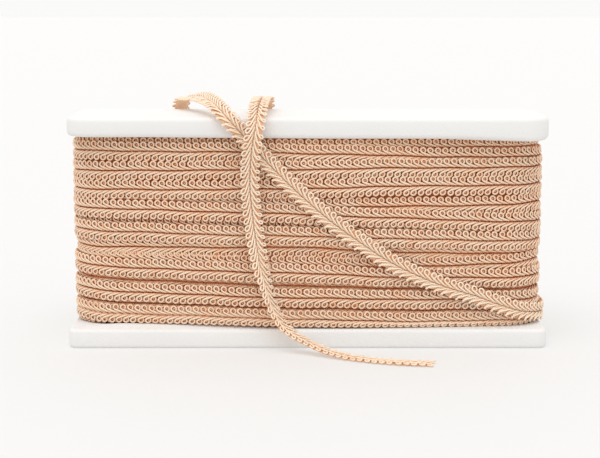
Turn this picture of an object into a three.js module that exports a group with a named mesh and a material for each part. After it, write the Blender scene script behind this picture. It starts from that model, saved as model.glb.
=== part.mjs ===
// Loop-edged trim wound on a flanged foam board, with a loose run draped over the board.
// Units are millimetres, +Z is up, and -Y is the front. The origin is the centre of the board's underside.
import * as THREE from 'three';

// Board
const boardLength = 250;
const boardDepth = 66;
const boardHeight = 120.4;
const flangeThickness = 10;
const flangeCornerRadius = 5;
const flangeEdgeRound = 1.6;
const coreLength = 218;
const coreThickness = 20;
const fitGap = 0.3;
const coreClearance = 0.6;

// Trim
const trimWidth = 10;
const trimThickness = 2;
const loopCrest = 0.62;        // where a row's loops stand highest, as a share of its half height
const centreDip = 0.5;         // the centre line lies this far below the loops
const rowGroove = 1.5;         // the groove between two rows that lie side by side
const bundleEndRadius = 25;
const bundleEndCentre = 100;
const bundleHalfDepth = 32;
const bundleBottom = flangeThickness + fitGap;
const bundleTop = boardHeight - flangeThickness - fitGap;
const rimSetBack = 2;          // the winding's rims lie this far inside its loops
const turnsPastRim = 2;        // rows worked out past each rim, so that the outermost ones end in wedges
const flatBackShare = 0.84;    // the trim's back is flat over this share of its width
const selvedgeDrop = 0.1;      // its two edges lie this far behind the middle of its thickness

const faceSteps = 22;          // stations along the bowed front, and again along the back
const endSteps = 10;           // stations round each end
const looseSteps = 144;        // stations along the loose run

// Each row of the winding, from the bottom up: the height of its centre line at five places along the front,
// and how far it stands in front of its neighbours there (a row that is pushed behind them is negative).
const windingRows = [
  { left: 17.4, leftMiddle: 16.5, middle: 15.0, rightMiddle: 13.3, right: 12.9, proud: [-0.4, -0.3, -0.2, -0.2, -0.4] },
  { left: 29.7, leftMiddle: 27.9, middle: 26.4, rightMiddle: 25.2, right: 23.4, proud: [0, 0, 0, 0, -0.3] },
  { left: 42.6, leftMiddle: 40.8, middle: 39.4, rightMiddle: 36.8, right: 35.8, proud: [0, 0, 0, 0, 0] },
  { left: 46.9, leftMiddle: 44.6, middle: 43.2, rightMiddle: 42.3, right: 44.2, proud: [-1.6, -1.6, -1.8, -1.5, -0.9] },
  { left: 52.2, leftMiddle: 52.5, middle: 52.8, rightMiddle: 49.6, right: 48.4, proud: [-1, -1.2, -1.7, -1.7, -1.6] },
  { left: 61.0, leftMiddle: 59.9, middle: 58.9, rightMiddle: 57.0, right: 54.8, proud: [0, 0, 0, 0, 0] },
  { left: 72.6, leftMiddle: 71.9, middle: 70.3, rightMiddle: 67.7, right: 64.6, proud: [0, 0, 0, 0, 0] },
  { left: 77.0, leftMiddle: 76.2, middle: 74.2, rightMiddle: 74.2, right: 74.7, proud: [-1.9, -1.9, -1.2, -0.8, -0.2] },
  { left: 82.2, leftMiddle: 82.9, middle: 83.8, rightMiddle: 84.9, right: 84.5, proud: [0, 0, 0, 0, 0] },
  { left: 91.8, leftMiddle: 93.0, middle: 93.7, rightMiddle: 94.3, right: 93.8, proud: [0, 0, 0, 0, 0] },
  { left: 102.4, leftMiddle: 102.7, middle: 102.0, rightMiddle: 100.2, right: 98.9, proud: [0, 0, -0.4, -0.6, -0.4] },
];
const columnNames = ['left', 'leftMiddle', 'middle', 'rightMiddle', 'right'];
const columnPlaces = [0.05, 0.26, 0.485, 0.71, 0.945];   // shares of the way from the left end to the right end
const hiddenLineBelow = 5;      // centre lines of the turns that would lie past the flanges
const hiddenLineAbove = 115;
const hiddenLineSpacing = 12;

// The loose run's centre line, from where it leaves the winding to its cut end. faces is the side that its
// looped face looks to.
const looseRun = [
  // round the right end of the winding
  { x: 110.0, y: 24.7, z: 17.2, faces: [0.38, 0.92, 0] },
  { x: 118.9, y: 18.8, z: 17.2, faces: [0.71, 0.71, 0] },
  { x: 125.6, y: 7.4, z: 17.1, faces: [0.96, 0.28, 0] },
  { x: 125.9, y: -6.3, z: 17.3, faces: [0.97, -0.24, 0] },
  { x: 120.4, y: -17.2, z: 18.4, faces: [0.77, -0.64, 0] },
  { x: 110.3, y: -24.9, z: 20.6, faces: [0.36, -0.93, 0] },
  { x: 100.4, y: -27.6, z: 23.4, faces: [0.14, -0.99, 0] },
  // up the front on the slant
  { x: 90.0, y: -28.9, z: 26.5, faces: [0.1, -1, 0] },
  { x: 69.6, y: -31.0, z: 33.1, faces: [0.08, -1, 0] },
  { x: 44.7, y: -32.6, z: 44.5, faces: [0.05, -1, 0] },
  { x: 31.5, y: -33.3, z: 53.0, faces: [0.03, -1, 0] },
  { x: 12.0, y: -33.6, z: 67.1, faces: [0, -1, 0] },
  { x: -6.2, y: -33.6, z: 83.0, faces: [0, -1, 0] },
  { x: -22.8, y: -35.0, z: 99.8, faces: [0, -1, 0] },
  // over the top flange in a slack arch
  { x: -33.2, y: -37.2, z: 112.0, faces: [0.02, -0.98, 0.1] },
  { x: -40.8, y: -38.0, z: 120.8, faces: [-0.04, -0.87, 0.45] },
  { x: -46.2, y: -31.4, z: 126.0, faces: [-0.12, -0.55, 0.8] },
  { x: -51.0, y: -18.0, z: 128.4, faces: [-0.3, -0.3, 0.9] },
  { x: -57.2, y: 2.0, z: 129.0, faces: [-0.45, -0.1, 0.88] },
  { x: -63.6, y: 18.0, z: 127.6, faces: [-0.4, 0.16, 0.9] },
  { x: -68.4, y: 31.0, z: 125.9, faces: [-0.3, 0.6, 0.74] },
  { x: -70.3, y: 38.4, z: 119.0, faces: [-0.25, 0.96, 0.1] },
  // down behind in a hanging loop and up again
  { x: -70.0, y: 39.8, z: 107.0, faces: [-0.35, 0.93, 0] },
  { x: -66.8, y: 40.6, z: 94.0, faces: [-0.72, 0.65, -0.2] },
  { x: -59.5, y: 41.0, z: 83.0, faces: [-0.62, 0.25, -0.74] },
  { x: -46.8, y: 41.2, z: 78.0, faces: [0, 0.02, -1] },
  { x: -34.0, y: 41.0, z: 83.0, faces: [0.62, 0.25, -0.74] },
  { x: -26.6, y: 40.6, z: 94.0, faces: [0.72, 0.65, -0.2] },
  { x: -23.6, y: 39.6, z: 107.0, faces: [0.3, 0.95, 0] },
  { x: -22.9, y: 38.0, z: 118.0, faces: [0.08, 0.99, 0.1] },
  // over the top flange again
  { x: -23.0, y: 31.5, z: 125.2, faces: [0.04, 0.72, 0.69] },
  { x: -23.3, y: 17.0, z: 127.4, faces: [0, 0.3, 0.95] },
  { x: -24.0, y: 0.0, z: 128.4, faces: [0, 0, 1] },
  { x: -24.8, y: -17.0, z: 127.6, faces: [0, -0.2, 0.98] },
  { x: -25.4, y: -30.6, z: 125.4, faces: [0, -0.5, 0.87] },
  { x: -25.9, y: -37.0, z: 121.6, faces: [0, -0.86, 0.5] },
  // down the front, over the slanted run
  { x: -26.5, y: -40.6, z: 116.6, faces: [0, -0.99, 0.12] },
  { x: -27.8, y: -41.0, z: 109.4, faces: [0, -1, 0] },
  { x: -28.9, y: -39.8, z: 101.8, faces: [0, -1, -0.1] },
  { x: -29.5, y: -37.6, z: 93.0, faces: [0, -1, -0.1] },
  { x: -29.5, y: -36.0, z: 83.0, faces: [0, -1, -0.06] },
  { x: -28.6, y: -34.9, z: 72.5, faces: [0, -1, 0] },
  { x: -27.4, y: -35.0, z: 62.5, faces: [0.1, -0.99, 0] },
  // turned edge on as it leaves the winding
  { x: -25.9, y: -35.7, z: 52.5, faces: [0.34, -0.94, 0] },
  { x: -23.8, y: -36.9, z: 42.0, faces: [0.64, -0.77, 0] },
  { x: -20.8, y: -37.8, z: 31.5, faces: [0.81, -0.58, 0.04] },
  { x: -17.6, y: -38.2, z: 22.0, faces: [0.85, -0.49, 0.2] },
  { x: -13.2, y: -39.4, z: 14.2, faces: [0.77, -0.45, 0.46] },
  { x: -7.2, y: -41.8, z: 9.6, faces: [0.6, -0.36, 0.71] },
  // turned flat on the surface
  { x: 0.6, y: -45.8, z: 6.0, faces: [0.38, -0.2, 0.9] },
  { x: 9.0, y: -50.7, z: 3.2, faces: [0.18, -0.08, 0.98] },
  { x: 18.0, y: -55.8, z: 1.6, faces: [0.06, -0.02, 1] },
  { x: 30.0, y: -62.0, z: 1.0, faces: [0, 0, 1] },
  { x: 42.0, y: -66.8, z: 1.0, faces: [0, 0, 1] },
  { x: 53.0, y: -69.4, z: 1.0, faces: [0, 0, 1] },
  { x: 63.5, y: -70.6, z: 1.0, faces: [0, 0, 1] },
];

// Vertices that fall on the same place become one, and faces that close up to a line are left out.
class SolidBuilder {
  constructor() {
    this.points = [];
    this.faces = [];
    this.known = new Map();
  }

  point(x, y, z) {
    const key = [x, y, z].map((value) => Math.round(value * 1000)).join(' ');
    if (!this.known.has(key)) {
      this.known.set(key, this.points.length / 3);
      this.points.push(x, y, z);
    }
    return this.known.get(key);
  }

  triangle(a, b, c) {
    if (a !== b && b !== c && c !== a) this.faces.push(a, b, c);
  }

  quad(a, b, c, d) {
    this.triangle(a, b, c);
    this.triangle(a, c, d);
  }

  geometry() {
    const geometry = new THREE.BufferGeometry();
    geometry.setAttribute('position', new THREE.Float32BufferAttribute(this.points, 3));
    geometry.setIndex(this.faces);
    geometry.computeVertexNormals();
    return geometry;
  }
}

function roundedPlan(length, depth, radius) {
  const x = length / 2 - radius;
  const y = depth / 2 - radius;
  const plan = new THREE.Shape();
  plan.absarc(x, y, radius, 0, Math.PI / 2);
  plan.absarc(-x, y, radius, Math.PI / 2, Math.PI);
  plan.absarc(-x, -y, radius, Math.PI, Math.PI * 1.5);
  plan.absarc(x, -y, radius, Math.PI * 1.5, Math.PI * 2);
  return plan;
}

function flangeGeometry() {
  const plan = roundedPlan(boardLength, boardDepth, flangeCornerRadius);
  const geometry = new THREE.ExtrudeGeometry(plan, {
    depth: flangeThickness - 2 * flangeEdgeRound,
    bevelThickness: flangeEdgeRound,
    bevelSize: flangeEdgeRound,
    bevelOffset: -flangeEdgeRound,
    bevelSegments: 2,
    curveSegments: 4,
  });
  geometry.translate(0, 0, flangeEdgeRound);
  return geometry;
}

function coreGeometry() {
  const plan = roundedPlan(coreLength, coreThickness, coreThickness / 2);
  const depth = boardHeight - 2 * (flangeThickness + fitGap);
  return new THREE.ExtrudeGeometry(plan, { depth, bevelEnabled: false, curveSegments: 6 });
}

// The winding's outline in plan: a shallow arc along the front and the back, and a tight one round each end.
function bundleOutline() {
  const rise = bundleHalfDepth - bundleEndRadius;
  const faceRadius = bundleEndRadius + (bundleEndCentre ** 2 + rise ** 2) / (2 * rise);
  const faceCentre = faceRadius - bundleHalfDepth;
  const faceAngle = Math.atan2(bundleEndCentre, faceCentre);
  const innerRadius = coreThickness / 2 + coreClearance;
  const innerCentre = (coreLength - coreThickness) / 2;
  const stations = [];

  const addStation = (cx, cy, radius, angle, innerX, innerY) => {
    const nx = Math.cos(angle);
    const ny = Math.sin(angle);
    stations.push({ x: cx + radius * nx, y: cy + radius * ny, nx, ny, innerX, innerY });
  };
  const addEnd = (side, from, to, first, last) => {
    for (let i = first; i <= last; i += 1) {
      const share = i / endSteps;
      const angle = from + (to - from) * share;
      const innerAngle = (side > 0 ? -Math.PI / 2 : Math.PI / 2) + Math.PI * share;
      addStation(side * bundleEndCentre, 0, bundleEndRadius, angle,
        side * innerCentre + innerRadius * Math.cos(innerAngle), innerRadius * Math.sin(innerAngle));
    }
  };
  const addFace = (side) => {
    const middle = side * Math.PI / 2;
    for (let i = 1; i < faceSteps; i += 1) {
      const share = i / faceSteps;
      const angle = middle + faceAngle * (2 * share - 1);
      const innerX = -side * innerCentre * (2 * share - 1);
      addStation(0, -side * faceCentre, faceRadius, angle, innerX, side * innerRadius);
    }
  };

  const front = -1;
  const back = 1;
  const quarter = Math.PI / 2;
  addEnd(-1, quarter + faceAngle, 3 * quarter - faceAngle, endSteps / 2, endSteps);
  addFace(front);
  addEnd(1, faceAngle - quarter, quarter - faceAngle, 0, endSteps);
  addFace(back);
  addEnd(-1, quarter + faceAngle, 3 * quarter - faceAngle, 0, endSteps / 2);

  let travelled = 0;
  stations.forEach((station, i) => {
    const last = stations[Math.max(i - 1, 0)];
    travelled += Math.hypot(station.x - last.x, station.y - last.y);
    station.travelled = travelled;
  });
  stations.forEach((station) => {
    station.turn = station.travelled / travelled;
  });
  return stations;
}

// One value of a row along the front, from its five columns.
const rowCurves = windingRows.map((row) => ({
  height: new THREE.CubicInterpolant(columnPlaces, columnNames.map((name) => row[name]), 1),
  proud: new THREE.CubicInterpolant(columnPlaces, row.proud, 1),
}));

function frontHeight(row, place) {
  if (row < 0) return hiddenLineBelow + (row + 1) * hiddenLineSpacing;
  if (row >= windingRows.length) return hiddenLineAbove + (row - windingRows.length) * hiddenLineSpacing;
  return rowCurves[row].height.evaluate(place)[0];
}

function frontProud(row, place) {
  if (row < 0 || row >= windingRows.length) return -rimSetBack;
  return rowCurves[row].proud.evaluate(place)[0];
}

// The trim runs level along the front and climbs one row along the back, so that all rows are one winding.
function rowAt(row, turn) {
  if (turn <= 0.5) {
    return { height: frontHeight(row, turn * 2), proud: frontProud(row, turn * 2) };
  }
  const share = THREE.MathUtils.smoothstep(turn * 2 - 1, 0, 1);
  return {
    height: THREE.MathUtils.lerp(frontHeight(row, 1), frontHeight(row + 1, 0), share),
    proud: THREE.MathUtils.lerp(frontProud(row, 1), frontProud(row + 1, 0), share),
  };
}

// A row's section from the groove below it: groove, lower loops, centre line, upper loops.
function rowLevels(row, turn) {
  const here = rowAt(row, turn);
  const below = rowAt(row - 1, turn);
  const above = rowAt(row + 1, turn);
  const downHalf = (here.height - below.height) / 2;
  const upHalf = (above.height - here.height) / 2;
  const fullHalf = trimWidth / 2;
  const grooveDepth = rowGroove * Math.min(1, downHalf / fullHalf);
  return [
    { z: here.height - downHalf, out: Math.min(here.proud, below.proud) - grooveDepth },
    { z: here.height - downHalf * loopCrest, out: here.proud },
    { z: here.height, out: here.proud - centreDip },
    { z: here.height + upHalf * loopCrest, out: here.proud },
  ];
}

function windingGeometry() {
  const solid = new SolidBuilder();
  const outline = bundleOutline();
  const columns = outline.map((station) => {
    const levels = [];
    for (let row = -turnsPastRim; row < windingRows.length + turnsPastRim - 1; row += 1) {
      levels.push(...rowLevels(row, station.turn));
    }
    const outer = levels.map(({ z, out }) => {
      const pastRim = z <= bundleBottom || z >= bundleTop;
      const offset = pastRim ? -rimSetBack : out;
      const height = THREE.MathUtils.clamp(z, bundleBottom, bundleTop);
      return solid.point(station.x + station.nx * offset, station.y + station.ny * offset, height);
    });
    return {
      outer,
      innerBottom: solid.point(station.innerX, station.innerY, bundleBottom),
      innerTop: solid.point(station.innerX, station.innerY, bundleTop),
    };
  });
  for (let i = 0; i < columns.length - 1; i += 1) {
    const here = columns[i];
    const next = columns[i + 1];
    const top = here.outer.length - 1;
    for (let level = 0; level < top; level += 1) {
      solid.quad(here.outer[level], next.outer[level], next.outer[level + 1], here.outer[level + 1]);
    }
    solid.quad(here.outer[top], next.outer[top], next.innerTop, here.innerTop);
    solid.quad(here.innerTop, next.innerTop, next.innerBottom, here.innerBottom);
    solid.quad(here.innerBottom, next.innerBottom, next.outer[0], here.outer[0]);
  }
  return solid.geometry();
}

// The trim's section: two raised edges of loops, a dip along the middle and a flat back.
const edge = trimWidth / 2;
const half = trimThickness / 2;
const trimSection = [
  { across: -edge, out: -selvedgeDrop },
  { across: -edge * flatBackShare, out: -half },
  { across: edge * flatBackShare, out: -half },
  { across: edge, out: -selvedgeDrop },
  { across: edge * loopCrest, out: half },
  { across: 0, out: half - centreDip },
  { across: -edge * loopCrest, out: half },
];

function looseRunGeometry() {
  const solid = new SolidBuilder();
  const places = looseRun.map(({ x, y, z }) => new THREE.Vector3(x, y, z));
  const facings = looseRun.map(({ faces }) => new THREE.Vector3(...faces).normalize());
  const route = new THREE.CatmullRomCurve3(places, false, 'centripetal');
  const facing = new THREE.CatmullRomCurve3(facings, false, 'catmullrom', 0.5);
  const rings = [];
  for (let i = 0; i <= looseSteps; i += 1) {
    const t = route.getUtoTmapping(i / looseSteps);
    const centre = route.getPoint(t);
    const along = route.getTangent(t);
    const across = new THREE.Vector3().crossVectors(along, facing.getPoint(t)).normalize();
    const outward = new THREE.Vector3().crossVectors(across, along);
    rings.push(trimSection.map((corner) => {
      const place = centre.clone().addScaledVector(across, corner.across).addScaledVector(outward, corner.out);
      return solid.point(place.x, place.y, place.z);
    }));
  }
  const sides = trimSection.length;
  for (let i = 0; i < looseSteps; i += 1) {
    for (let side = 0; side < sides; side += 1) {
      const next = (side + 1) % sides;
      solid.quad(rings[i][side], rings[i + 1][side], rings[i + 1][next], rings[i][next]);
    }
  }
  const first = rings[0];
  const last = rings[looseSteps];
  for (let side = 1; side < sides - 1; side += 1) {
    solid.triangle(first[0], first[side], first[side + 1]);
    solid.triangle(last[0], last[side + 1], last[side]);
  }
  return solid.geometry();
}

function addPiece(group, name, geometry, material, height = 0) {
  const mesh = new THREE.Mesh(geometry, material);
  mesh.name = name;
  mesh.position.z = height;
  group.add(mesh);
}

const foam = new THREE.MeshStandardMaterial({ color: 0xf4f3f1, roughness: 0.75, metalness: 0 });
const woundYarn = new THREE.MeshStandardMaterial({ color: 0xddb394, roughness: 0.6, metalness: 0 });
const looseYarn = new THREE.MeshStandardMaterial({ color: 0xeac3a2, roughness: 0.55, metalness: 0 });

const group = new THREE.Group();
addPiece(group, 'flange_bottom', flangeGeometry(), foam);
addPiece(group, 'core_panel', coreGeometry(), foam, flangeThickness + fitGap);
addPiece(group, 'flange_top', flangeGeometry(), foam, boardHeight - flangeThickness);
addPiece(group, 'wound_trim', windingGeometry(), woundYarn);
addPiece(group, 'loose_run', looseRunGeometry(), looseYarn);

export default group;
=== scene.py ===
import math

import bpy
import numpy as np
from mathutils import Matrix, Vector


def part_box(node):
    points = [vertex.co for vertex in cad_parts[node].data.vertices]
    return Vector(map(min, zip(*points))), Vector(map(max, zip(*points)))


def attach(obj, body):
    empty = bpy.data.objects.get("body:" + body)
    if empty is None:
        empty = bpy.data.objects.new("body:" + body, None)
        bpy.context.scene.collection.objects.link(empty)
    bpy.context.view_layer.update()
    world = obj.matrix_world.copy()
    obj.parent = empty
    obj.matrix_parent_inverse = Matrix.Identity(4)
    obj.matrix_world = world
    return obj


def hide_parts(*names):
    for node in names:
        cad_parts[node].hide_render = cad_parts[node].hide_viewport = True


# Loop-edged gimp trim, wound on a flanged foam board, with a loose run draped over the board.
# Lengths are millimetres until a mesh is made. +Z is up and the front looks along -Y.
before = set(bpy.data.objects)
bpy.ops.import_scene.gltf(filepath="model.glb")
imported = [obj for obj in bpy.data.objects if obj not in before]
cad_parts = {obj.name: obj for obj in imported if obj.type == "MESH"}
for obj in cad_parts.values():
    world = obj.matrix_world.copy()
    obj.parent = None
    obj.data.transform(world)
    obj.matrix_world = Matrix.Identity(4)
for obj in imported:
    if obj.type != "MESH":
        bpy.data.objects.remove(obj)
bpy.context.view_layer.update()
millimetre = 0.001


def nodeBox(name):
    low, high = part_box(name)
    return np.array(low) / millimetre, np.array(high) / millimetre


topLow, topHigh = nodeBox("flange_top")
bottomLow, bottomHigh = nodeBox("flange_bottom")
print("frame loaded, board", np.round(topHigh - bottomLow, 1))


def startMaterial(name):
    material = bpy.data.materials.new(name)
    material.use_nodes = True
    tree = material.node_tree
    return material, tree, tree.nodes["Principled BSDF"]


def addPiece(name, data):
    piece = bpy.data.objects.new(name, data)
    bpy.context.collection.objects.link(piece)
    return piece


# Camera

camera = {
    "place": (-0.004, -0.828, 0.1826),
    "pitchDown": 8.55,
    "lens": 93.48,
    "sensorWidth": 36.0,
}


def addCamera(values):
    data = bpy.data.cameras.new("camera")
    data.lens = values["lens"]
    data.sensor_width = values["sensorWidth"]
    piece = addPiece("camera", data)
    piece.location = values["place"]
    piece.rotation_euler = (math.radians(90 - values["pitchDown"]), 0, 0)
    bpy.context.scene.camera = piece


addCamera(camera)

# Light and floor

studio = {
    "worldColour": (1.0, 0.995, 0.985, 1),
    "worldStrength": 0.965,
    "sunStrength": 1.1,
    "sunSoftness": 50,            # degrees across
    "sunElevation": 68,
    "sunAzimuth": -18,            # degrees from straight in front, to the left
    "floorSize": 24.0,
    "floorColour": (0.46, 0.457, 0.452, 1),
    "floorGlow": 0.36,            # a lit table: shadows on it stay light
    "floorRoughness": 0.7,
    "floorSpecular": 0.2,
}


def addLight(values):
    world = bpy.data.worlds.new("studio")
    world.use_nodes = True
    background = world.node_tree.nodes["Background"]
    background.inputs["Color"].default_value = values["worldColour"]
    background.inputs["Strength"].default_value = values["worldStrength"]
    bpy.context.scene.world = world

    data = bpy.data.lights.new("softSun", "SUN")
    data.energy = values["sunStrength"]
    data.angle = math.radians(values["sunSoftness"])
    sun = addPiece("softSun", data)
    sun.rotation_euler = (math.radians(90 - values["sunElevation"]), 0, math.radians(values["sunAzimuth"]))
    bpy.context.scene.view_settings.view_transform = "Standard"


def addFloor(values):
    half = values["floorSize"] / 2
    mesh = bpy.data.meshes.new("floor")
    corners = [(-half, -half, 0), (half, -half, 0), (half, half, 0), (-half, half, 0)]
    mesh.from_pydata(corners, [], [(0, 1, 2, 3)])
    piece = addPiece("floor", mesh)
    material, _, shader = startMaterial("paleFloor")
    shader.inputs["Base Color"].default_value = values["floorColour"]
    shader.inputs["Roughness"].default_value = values["floorRoughness"]
    shader.inputs["Specular IOR Level"].default_value = values["floorSpecular"]
    shader.inputs["Emission Color"].default_value = values["worldColour"]
    shader.inputs["Emission Strength"].default_value = values["floorGlow"]
    mesh.materials.append(material)


addLight(studio)
addFloor(studio)
print("camera, light and floor")

# Node groups that the materials share


def newGroup(name, numbersIn, out):
    group = bpy.data.node_groups.new(name, "ShaderNodeTree")
    for label, value in numbersIn.items():
        socket = group.interface.new_socket(label, in_out="INPUT", socket_type="NodeSocketFloat")
        socket.default_value = value
    group.interface.new_socket(out, in_out="OUTPUT", socket_type="NodeSocketFloat")
    return group, group.nodes.new("NodeGroupInput"), group.nodes.new("NodeGroupOutput")


def addMath(tree, operation, first, second=None, third=None):
    node = tree.nodes.new("ShaderNodeMath")
    node.operation = operation
    for socket, value in zip(node.inputs, (first, second, third)):
        if isinstance(value, bpy.types.NodeSocket):
            tree.links.new(value, socket)
        elif value is not None:
            socket.default_value = value
    return node.outputs[0]


def makeMottle():
    group, inside, outside = newGroup("mottle", {"Scale": 60.0, "Detail": 3.0, "Contrast": 1.0}, "Mask")
    place = group.nodes.new("ShaderNodeTexCoord")
    noise = group.nodes.new("ShaderNodeTexNoise")
    group.links.new(place.outputs["Object"], noise.inputs["Vector"])
    group.links.new(inside.outputs["Scale"], noise.inputs["Scale"])
    group.links.new(inside.outputs["Detail"], noise.inputs["Detail"])
    centred = addMath(group, "SUBTRACT", noise.outputs["Fac"], 0.5)
    stretched = addMath(group, "MULTIPLY", centred, inside.outputs["Contrast"])
    mask = addMath(group, "ADD", stretched, 0.5)
    group.links.new(mask, outside.inputs["Mask"])
    return group


def makeWrap():
    group, inside, outside = newGroup("threadWrap", {"Turns": 3.4, "Threads": 1.0}, "Height")
    yarn = group.nodes.new("ShaderNodeUVMap")
    yarn.uv_map = "alongYarn"
    parts = group.nodes.new("ShaderNodeSeparateXYZ")
    group.links.new(yarn.outputs["UV"], parts.inputs["Vector"])
    lengthwise = addMath(group, "MULTIPLY", parts.outputs["X"], inside.outputs["Turns"])
    aroundYarn = addMath(group, "MULTIPLY", parts.outputs["Y"], inside.outputs["Threads"])
    phase = addMath(group, "ADD", lengthwise, aroundYarn)
    saw = addMath(group, "FRACT", phase)
    centred = addMath(group, "SUBTRACT", saw, 0.5)
    square = addMath(group, "MULTIPLY", centred, centred)
    ridge = addMath(group, "MULTIPLY_ADD", square, -4.0, 1.0)
    group.links.new(ridge, outside.inputs["Height"])
    return group


mottle = makeMottle()
threadWrap = makeWrap()

# Materials


def useGroup(tree, group, values):
    node = tree.nodes.new("ShaderNodeGroup")
    node.node_tree = group
    for label, value in values.items():
        node.inputs[label].default_value = value
    return node.outputs[0]


def mixColours(tree, factor, first, second):
    node = tree.nodes.new("ShaderNodeMix")
    node.data_type = "RGBA"
    tree.links.new(factor, node.inputs["Factor"])
    for label, value in (("A", first), ("B", second)):
        socket = [s for s in node.inputs if s.name == label and s.type == "RGBA"][0]
        if isinstance(value, bpy.types.NodeSocket):
            tree.links.new(value, socket)
        else:
            socket.default_value = value
    return [s for s in node.outputs if s.type == "RGBA"][0]


def spread(tree, value, low, high):
    node = tree.nodes.new("ShaderNodeMapRange")
    tree.links.new(value, node.inputs["Value"])
    node.inputs["To Min"].default_value = low
    node.inputs["To Max"].default_value = high
    return node.outputs["Result"]


def addBump(tree, shader, height, values):
    bump = tree.nodes.new("ShaderNodeBump")
    bump.inputs["Strength"].default_value = values["bumpStrength"]
    bump.inputs["Distance"].default_value = values["bumpDistance"]
    tree.links.new(height, bump.inputs["Height"])
    tree.links.new(bump.outputs["Normal"], shader.inputs["Normal"])


def addPatches(tree, values):
    return useGroup(tree, mottle, {
        "Scale": values["patchScale"],
        "Detail": values["patchDetail"],
        "Contrast": values["patchContrast"],
    })


def yarnMaterial(name, values):
    material, tree, shader = startMaterial(name)
    # Painted shade: the colour runs from pale to deep by a vertex attribute that holds painted shade on low,
    # sunk and inner-facing yarn, with a little random tone
    toneAndPaintedShade = tree.nodes.new("ShaderNodeAttribute")
    toneAndPaintedShade.attribute_name = "toneAndPaintedShade"
    wrap = useGroup(tree, threadWrap, {"Turns": values["wrapTurns"], "Threads": values["wrapThreads"]})
    patches = addPatches(tree, values)
    # Painted shade: a second attribute turns the colour to a darker one where threads lie in shade behind the
    # rings
    behind = tree.nodes.new("ShaderNodeAttribute")
    behind.attribute_name = "paintedShadeBehindRing"
    yarn = mixColours(tree, toneAndPaintedShade.outputs["Fac"], values["pale"], values["deepShade"])
    between = mixColours(tree, behind.outputs["Fac"], yarn, values["crossedInShade"])
    # Painted shade: the grooves between the wrapped threads take the darker groove colour
    grooveShade = spread(tree, wrap, values["threadShade"], 0.0)
    threads = mixColours(tree, grooveShade, between, values["groove"])
    patchShare = spread(tree, patches, 0.0, values["patchShare"])
    tree.links.new(mixColours(tree, patchShare, threads, values["patch"]), shader.inputs["Base Color"])
    roughness = spread(tree, wrap, values["grooveRoughness"], values["roughness"])
    tree.links.new(roughness, shader.inputs["Roughness"])
    shader.inputs["Specular IOR Level"].default_value = values["specular"]
    shader.inputs["Sheen Weight"].default_value = values["sheen"]
    shader.inputs["Sheen Roughness"].default_value = values["sheenRoughness"]
    shader.inputs["Sheen Tint"].default_value = values["sheenTint"]
    addBump(tree, shader, wrap, values)
    return material


def underMaterial(values):
    material, tree, shader = startMaterial("shadedYarn")
    patches = addPatches(tree, values)
    tree.links.new(mixColours(tree, patches, values["deepShade"], values["lit"]), shader.inputs["Base Color"])
    shader.inputs["Roughness"].default_value = values["roughness"]
    addBump(tree, shader, patches, values)
    return material


def foamMaterial(values):
    material, tree, shader = startMaterial("foamBoard")
    patches = addPatches(tree, values)
    grain = useGroup(tree, mottle, {"Scale": values["grainScale"], "Detail": 2.0, "Contrast": 1.6})
    tree.links.new(mixColours(tree, patches, values["colour"], values["shade"]), shader.inputs["Base Color"])
    tree.links.new(spread(tree, grain, *values["roughness"]), shader.inputs["Roughness"])
    shader.inputs["Specular IOR Level"].default_value = values["specular"]
    addBump(tree, shader, grain, values)
    return material


yarnSurface = {
    "patchScale": 90.0,
    "patchDetail": 3.0,
    "patchContrast": 1.4,
    "patchShare": 0.35,
    # share of the groove colour, painted shade, in the grooves between the wrapped threads
    "threadShade": 0.35,
    "grooveRoughness": 0.66,
    "specular": 0.5,
    "sheen": 0.25,
    "sheenRoughness": 0.4,
    "sheenTint": (1.0, 0.93, 0.86, 1),
    "bumpStrength": 0.5,
    "bumpDistance": 0.00012,      # metres
    "wrapTurns": 3.4,
    "wrapThreads": 1.0,
}
# The wound and the loose yarn are one yarn. Their deep, groove and crossed colours are painted shade, and the
# wound copy's colours are painted deeper for the shade of the close winding
woundYarn = yarnMaterial("woundYarn", {
    **yarnSurface,
    "pale": (0.94, 0.765, 0.585, 1),
    "deepShade": (0.87, 0.34, 0.11, 1),
    "groove": (0.85, 0.43, 0.20, 1),
    "patch": (0.93, 0.77, 0.60, 1),
    "crossedInShade": (0.78, 0.28, 0.09, 1),
    "roughness": 0.42,
})
looseYarn = yarnMaterial("looseYarn", {
    **yarnSurface,
    "pale": (0.97, 0.84, 0.68, 1),
    "deepShade": (0.93, 0.58, 0.32, 1),
    "groove": (0.88, 0.55, 0.31, 1),
    "patch": (0.96, 0.84, 0.69, 1),
    "crossedInShade": (0.78, 0.33, 0.12, 1),
    "roughness": 0.40,
})
# Painted shade: the layer behind the rows is coloured dark red-brown, in lighter and deeper patches, for the
# shade it lies in
shadedYarn = underMaterial({
    "deepShade": (0.40, 0.09, 0.022, 1),
    "lit": (0.70, 0.24, 0.075, 1),
    "patchScale": 420.0,
    "patchDetail": 2.0,
    "patchContrast": 2.0,
    "roughness": 0.8,
    "bumpStrength": 0.6,
    "bumpDistance": 0.0008,
})
foamBoard = foamMaterial({
    "colour": (0.81, 0.80, 0.79, 1),
    "shade": (0.785, 0.775, 0.76, 1),
    "patchScale": 26.0,
    "patchDetail": 4.0,
    "patchContrast": 1.5,
    "grainScale": 1100.0,
    "roughness": (0.62, 0.82),
    "specular": 0.3,
    "bumpStrength": 0.25,
    "bumpDistance": 0.0004,
})
print("materials")

# Foam board: two soft-edged flanges stand for the plain ones of the frame


def addSolid(name, points, faces, material):
    # Quads are shaded smooth, and the faces that close the ends flat
    mesh = bpy.data.meshes.new(name)
    mesh.from_pydata((points * millimetre).tolist(), [], faces)
    mesh.polygons.foreach_set("use_smooth", [len(face) == 4 for face in faces])
    mesh.materials.append(material)
    piece = addPiece(name, mesh)
    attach(piece, "root")
    return piece


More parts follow.
